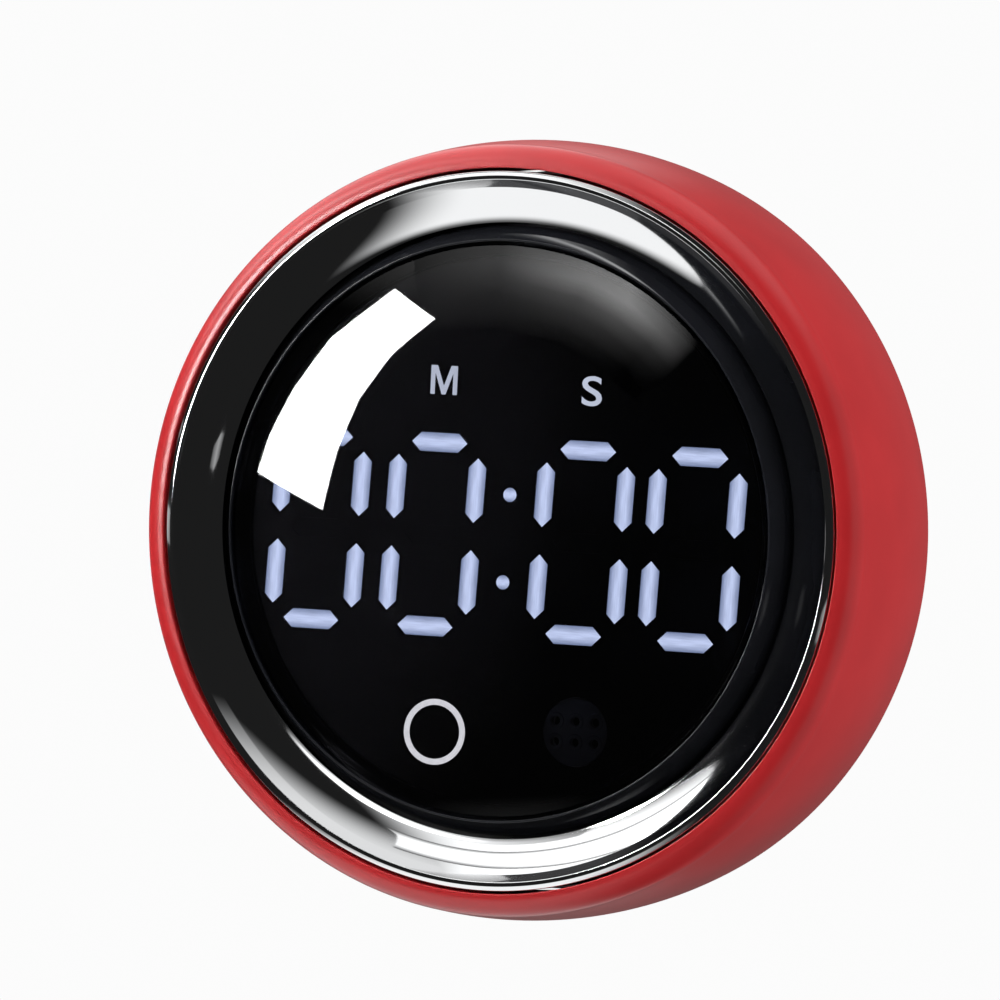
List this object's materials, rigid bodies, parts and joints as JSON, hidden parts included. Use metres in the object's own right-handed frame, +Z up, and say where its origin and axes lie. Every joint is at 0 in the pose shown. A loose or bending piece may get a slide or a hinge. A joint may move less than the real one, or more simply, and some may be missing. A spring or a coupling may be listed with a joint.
{
  "type": "kitchen timer",
  "caption": "Round magnetic kitchen timer: a smooth turning ring around a domed smoked lens with a lit clock display, and a battery base behind.",
  "frame": {"origin": "centre of the flat magnetic back face, on the turning ring's axis", "axes": "+Z up the face as the display reads, +X to the reader's right, -Y out of the face towards the reader, so +Y is the back face's outward normal"},
  "size_m": [0.0784, 0.03, 0.0784],
  "materials": {
    "red_shell": "satin",
    "chrome": "polished plating",
    "gloss_black": "gloss",
    "smoked_lens": "high gloss smoked acrylic",
    "display_film": "matte printed film",
    "display_light": "milky, lit from behind",
    "white_reflector": "matte",
    "black_abs": "fine spark-eroded texture",
    "acetal": "satin",
    "circuit_board": "solder mask",
    "chip_epoxy": "matte",
    "steel": "zinc plated",
    "nickel": "nickel plated",
    "battery_sleeve": "printed sleeve",
    "wire_red": "pvc insulation",
    "wire_black": "pvc insulation"
  },
  "bodies": {
    "base": {"thrust_washer": "acetal", "core_frame": "black_abs", "base_housing": "black_abs", "back_cover": "black_abs", "lens_bezel": "gloss_black", "front_lens": "smoked_lens", "display_mask": "display_film", "sound_grille": "display_film", "diffuser_sheet": "display_light", "reflector_block": "white_reflector", "main_board": "circuit_board", "mcu_chip": "chip_epoxy", "buzzer": "black_abs", "touch_spring": "nickel", "encoder_body": "chip_epoxy", "volume_switch_body": "chip_epoxy", "negative_contact": "nickel", "positive_contact": "nickel", "left_bridge_contact": "nickel", "right_bridge_contact": "nickel", "positive_wire": "wire_red", "negative_wire": "wire_black", "battery_1": "battery_sleeve", "contact_spring_1": "nickel", "display_screw_1": "steel", "battery_2": "battery_sleeve", "contact_spring_2": "nickel", "display_screw_2": "steel", "battery_3": "battery_sleeve", "contact_spring_3": "nickel", "display_screw_3": "steel", "magnet_1": "nickel", "back_screw_1": "steel", "core_screw_1": "steel", "magnet_2": "nickel", "back_screw_2": "steel", "core_screw_2": "steel", "magnet_3": "nickel", "back_screw_3": "steel", "core_screw_3": "steel", "magnet_4": "nickel", "back_screw_4": "steel", "core_screw_4": "steel"},
    "ring": {"outer_ring": "red_shell", "chrome_ring": "chrome", "ring_gear": "acetal", "ring_bearing": "acetal"},
    "encoder": {"encoder_shaft": "steel", "encoder_pinion": "acetal"},
    "battery_door": {"battery_door": "black_abs"},
    "volume_slider": {"volume_knob": "black_abs"}
  },
  "joints": [
    {"name": "ring_spin", "type": "hinge", "parent": "base", "child": "ring", "pos_m": [0, 0, 0], "axis": [0, -1, 0], "continuous": true},
    {"name": "encoder_spin", "type": "hinge", "parent": "base", "child": "encoder", "pos_m": [0, -0.016, 0.027], "axis": [0, -1, 0], "continuous": true},
    {"name": "battery_door_swing", "type": "hinge", "parent": "base", "child": "battery_door", "pos_m": [0, -0.0008, 0.0162], "axis": [1, 0, 0], "range_deg": [0, 95]},
    {"name": "volume_slide", "type": "slide", "parent": "base", "child": "volume_slider", "axis": [1, 0, 0], "range_m": [-0.002, 0.002]}
  ],
  "couplings": [
    {"joint": "encoder_spin", "follows": "ring_spin", "ratio": 6}
  ]
}
